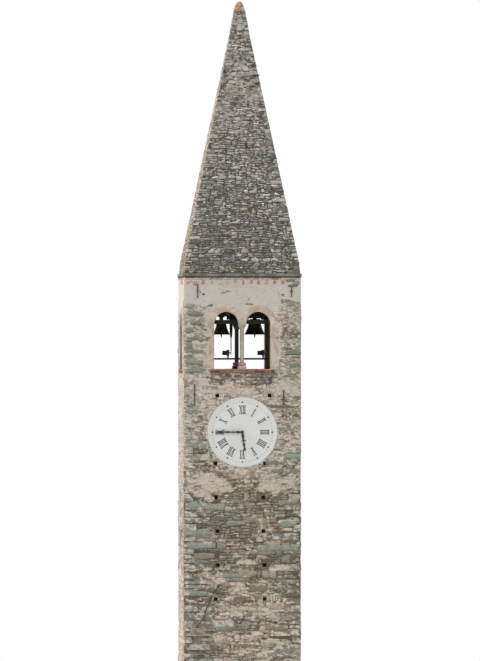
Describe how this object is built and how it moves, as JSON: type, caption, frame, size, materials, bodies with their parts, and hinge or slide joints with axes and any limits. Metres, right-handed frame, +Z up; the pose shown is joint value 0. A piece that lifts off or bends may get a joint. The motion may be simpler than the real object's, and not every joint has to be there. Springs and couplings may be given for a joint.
{
  "type": "campanile",
  "caption": "Square stone bell tower with a clock, arched belfry windows on every side, swinging bells on a timber frame and a pointed hollow stone spire.",
  "frame": {"origin": "middle of the footing, at ground level", "axes": "+Z up; +Y from the clock face into the tower; +X to the right as one looks at the clock"},
  "size_m": [4.6, 4.629, 28.179],
  "materials": {
    "rubble_stone": "coursed rubble of grey-green slabs and brown stones in cream lime mortar",
    "belfry_plaster": "smooth weathered lime plaster, grey-cream with a pinkish cast",
    "spire_stone": "small irregular grey-green rubble with lichen",
    "eaves_stone": "thin split stone slabs",
    "sill_brick": "worn terracotta slabs",
    "base_stone": "tooled grey stone",
    "base_brick": "rounded red-orange terracotta",
    "column_stone": "smooth pale grey stone",
    "dial_white": "off-white painted dial",
    "dial_border": "lighter painted border",
    "hand_black": "blue-black paint",
    "frame_timber": "old dark oak",
    "floor_boards": "weathered boards",
    "door_wood": "dark boards",
    "bronze": "dark bell bronze with a green-black skin",
    "iron": "dark iron with rust",
    "machine_steel": "dark grey paint over steel",
    "floor_stone": "worn stone flags"
  },
  "bodies": {
    "tower": {"front_wall": "rubble_stone", "left_wall": "rubble_stone", "right_wall": "rubble_stone", "back_wall": "rubble_stone", "belfry_front": "belfry_plaster", "belfry_left": "belfry_plaster", "belfry_right": "belfry_plaster", "belfry_back": "belfry_plaster", "window_sills": "sill_brick", "column_plinths": "base_stone", "column_bases": "base_brick", "column_shafts": "column_stone", "column_capitals": "column_stone", "eaves_front": "eaves_stone", "eaves_left": "eaves_stone", "eaves_right": "eaves_stone", "eaves_back": "eaves_stone", "spire_front": "spire_stone", "spire_left": "spire_stone", "spire_right": "spire_stone", "spire_back": "spire_stone", "spire_tip": "spire_stone", "clock_dial": "dial_white", "clock_rim": "dial_border", "cross_beams": "frame_timber", "bearers": "frame_timber", "bearings": "iron", "motor_rail": "machine_steel", "drive_motors": "machine_steel", "drive_chains": "iron", "belfry_floor": "floor_boards", "floor_joists": "frame_timber", "ground_floor": "floor_stone", "door_leaf": "door_wood", "door_frame": "door_wood", "door_lintel": "base_stone", "wall_anchors": "iron"},
    "left_bell": {"headstock_left": "frame_timber", "bell_left": "bronze", "wheel_left": "machine_steel"},
    "left_clapper": {"clapper_left": "iron"},
    "right_bell": {"headstock_right": "frame_timber", "bell_right": "bronze", "wheel_right": "machine_steel"},
    "right_clapper": {"clapper_right": "iron"},
    "minute_hand_body": {"minute_hand": "hand_black"},
    "hour_hand_body": {"hour_hand": "hand_black"}
  },
  "joints": [
    {"name": "left_bell_swing", "type": "hinge", "parent": "tower", "child": "left_bell", "pos_m": [-0.7, 0, 15.88], "axis": [1, 0, 0], "range_deg": [-60, 60]},
    {"name": "left_clapper_swing", "type": "hinge", "parent": "left_bell", "child": "left_clapper", "pos_m": [-0.7, 0, 15.6661], "axis": [1, 0, 0], "range_deg": [-22, 22]},
    {"name": "right_bell_swing", "type": "hinge", "parent": "tower", "child": "right_bell", "pos_m": [0.6, 0, 15.88], "axis": [1, 0, 0], "range_deg": [-60, 60]},
    {"name": "right_clapper_swing", "type": "hinge", "parent": "right_bell", "child": "right_clapper", "pos_m": [0.6, 0, 15.7558], "axis": [1, 0, 0], "range_deg": [-22, 22]},
    {"name": "minute_hand_turn", "type": "hinge", "parent": "tower", "child": "minute_hand_body", "pos_m": [0, -2.265, 11.475], "axis": [0, 1, 0], "continuous": true},
    {"name": "hour_hand_turn", "type": "hinge", "parent": "tower", "child": "hour_hand_body", "pos_m": [0, -2.265, 11.475], "axis": [0, 1, 0], "continuous": true}
  ],
  "couplings": [
    {"joint": "hour_hand_turn", "follows": "minute_hand_turn", "ratio": 0.083333}
  ]
}
